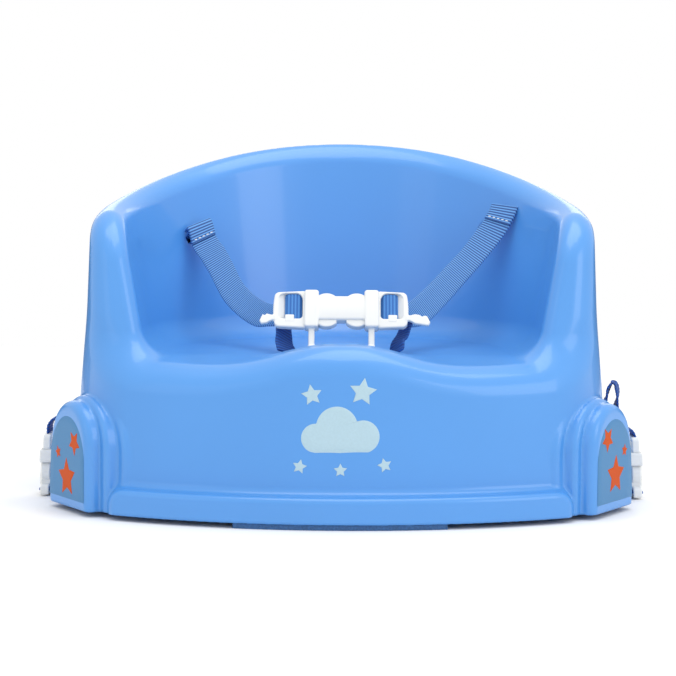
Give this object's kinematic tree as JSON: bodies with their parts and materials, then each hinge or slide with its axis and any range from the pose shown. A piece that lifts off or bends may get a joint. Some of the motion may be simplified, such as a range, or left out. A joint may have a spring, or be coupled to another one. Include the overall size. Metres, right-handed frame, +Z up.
{
  "type": "child booster seat",
  "caption": "Moulded bucket booster seat for a dining chair, with a lap harness, a double side-release buckle and chair straps.",
  "frame": {"origin": "middle of the footprint, on the surface the seat stands on", "axes": "+Z up, -Y to the front where the child's legs hang, +X to the right as seen from the front"},
  "size_m": [0.396, 0.2863, 0.237],
  "materials": {
    "shell_blue": "glossy mid-blue polypropylene, finely satin on the seat",
    "base_blue": "matt moulded blue",
    "grip_navy": "matt navy elastomer",
    "steel": "zinc plated",
    "decal": "satin printed label, grey-blue with orange stars",
    "anchor_grey": "matt grey nylon",
    "webbing": "ribbed blue polyester webbing with white thread",
    "buckle_white": "semi-gloss white acetal"
  },
  "bodies": {
    "root": {"seat_shell": "shell_blue", "base_plate": "base_blue", "base_screws": "steel", "front_grip_pad": "grip_navy", "rear_left_grip_pad": "grip_navy", "rear_right_grip_pad": "grip_navy", "left_side_decal": "decal", "left_waist_anchor": "anchor_grey", "left_waist_strap": "webbing", "left_chair_buckle": "buckle_white", "left_chair_tab": "webbing", "left_chair_anchor": "anchor_grey", "right_side_decal": "decal", "right_waist_anchor": "anchor_grey", "right_waist_strap": "webbing", "right_chair_buckle": "buckle_white", "right_chair_tab": "webbing", "right_chair_anchor": "anchor_grey", "crotch_strap": "webbing", "crotch_anchor": "anchor_grey", "buckle_receiver": "buckle_white", "chair_seat_strap": "webbing", "chair_back_strap": "webbing"},
    "left_plug": {"left_plug": "buckle_white", "left_strap_tail": "webbing"},
    "left_plug_upper_arm": {"left_plug_upper_arm": "buckle_white"},
    "left_plug_lower_arm": {"left_plug_lower_arm": "buckle_white"},
    "left_chair_plug": {"left_chair_plug": "buckle_white"},
    "left_chair_plug_front_arm": {"left_chair_plug_front_arm": "buckle_white"},
    "left_chair_plug_rear_arm": {"left_chair_plug_rear_arm": "buckle_white"},
    "right_plug": {"right_plug": "buckle_white", "right_strap_tail": "webbing"},
    "right_plug_upper_arm": {"right_plug_upper_arm": "buckle_white"},
    "right_plug_lower_arm": {"right_plug_lower_arm": "buckle_white"},
    "right_chair_plug": {"right_chair_plug": "buckle_white"},
    "right_chair_plug_front_arm": {"right_chair_plug_front_arm": "buckle_white"},
    "right_chair_plug_rear_arm": {"right_chair_plug_rear_arm": "buckle_white"},
    "back_strap_slide": {"back_strap_slide": "buckle_white"}
  },
  "joints": [
    {"name": "left_plug_slide", "type": "slide", "parent": "root", "child": "left_plug", "axis": [-1, 0, 0], "range_m": [0, 0.026], "deforming": ["left_waist_strap"]},
    {"name": "left_plug_upper_squeeze", "type": "hinge", "parent": "left_plug", "child": "left_plug_upper_arm", "pos_m": [-0.0198, -0.05545, 0.13161], "axis": [0, 0.9063, -0.4226], "range_deg": [0, 8], "stiffness_Nm_per_rad": 0.02},
    {"name": "left_plug_lower_squeeze", "type": "hinge", "parent": "left_plug", "child": "left_plug_lower_arm", "pos_m": [-0.0198, -0.06255, 0.11639], "axis": [0, -0.9063, 0.4226], "range_deg": [0, 8], "stiffness_Nm_per_rad": 0.02},
    {"name": "left_chair_plug_lift", "type": "slide", "parent": "root", "child": "left_chair_plug", "axis": [0, 0, 1], "range_m": [0, 0.022], "deforming": ["left_chair_tab"]},
    {"name": "left_chair_front_squeeze", "type": "hinge", "parent": "left_chair_plug", "child": "left_chair_plug_front_arm", "pos_m": [-0.193, -0.0164, 0.0276], "axis": [1, 0, 0], "range_deg": [0, 8], "stiffness_Nm_per_rad": 0.02},
    {"name": "left_chair_rear_squeeze", "type": "hinge", "parent": "left_chair_plug", "child": "left_chair_plug_rear_arm", "pos_m": [-0.193, 0.0004, 0.0276], "axis": [-1, 0, 0], "range_deg": [0, 8], "stiffness_Nm_per_rad": 0.02},
    {"name": "right_plug_slide", "type": "slide", "parent": "root", "child": "right_plug", "axis": [1, 0, 0], "range_m": [0, 0.026], "deforming": ["right_waist_strap"]},
    {"name": "right_plug_upper_squeeze", "type": "hinge", "parent": "right_plug", "child": "right_plug_upper_arm", "pos_m": [0.0198, -0.05545, 0.13161], "axis": [0, -0.9063, 0.4226], "range_deg": [0, 8], "stiffness_Nm_per_rad": 0.02},
    {"name": "right_plug_lower_squeeze", "type": "hinge", "parent": "right_plug", "child": "right_plug_lower_arm", "pos_m": [0.0198, -0.06255, 0.11639], "axis": [0, 0.9063, -0.4226], "range_deg": [0, 8], "stiffness_Nm_per_rad": 0.02},
    {"name": "right_chair_plug_lift", "type": "slide", "parent": "root", "child": "right_chair_plug", "axis": [0, 0, 1], "range_m": [0, 0.022], "deforming": ["right_chair_tab"]},
    {"name": "right_chair_front_squeeze", "type": "hinge", "parent": "right_chair_plug", "child": "right_chair_plug_front_arm", "pos_m": [0.193, -0.0164, 0.0276], "axis": [1, 0, 0], "range_deg": [0, 8], "stiffness_Nm_per_rad": 0.02},
    {"name": "right_chair_rear_squeeze", "type": "hinge", "parent": "right_chair_plug", "child": "right_chair_plug_rear_arm", "pos_m": [0.193, 0.0004, 0.0276], "axis": [-1, 0, 0], "range_deg": [0, 8], "stiffness_Nm_per_rad": 0.02},
    {"name": "back_slide_travel", "type": "hinge", "parent": "root", "child": "back_strap_slide", "pos_m": [0, -0.023, 0.092], "axis": [0, 0, 1], "range_deg": [-9, 9]}
  ],
  "couplings": [
    {"joint": "left_plug_lower_squeeze", "follows": "left_plug_upper_squeeze", "ratio": 1},
    {"joint": "left_chair_rear_squeeze", "follows": "left_chair_front_squeeze", "ratio": 1},
    {"joint": "right_plug_lower_squeeze", "follows": "right_plug_upper_squeeze", "ratio": 1},
    {"joint": "right_chair_rear_squeeze", "follows": "right_chair_front_squeeze", "ratio": 1}
  ]
}
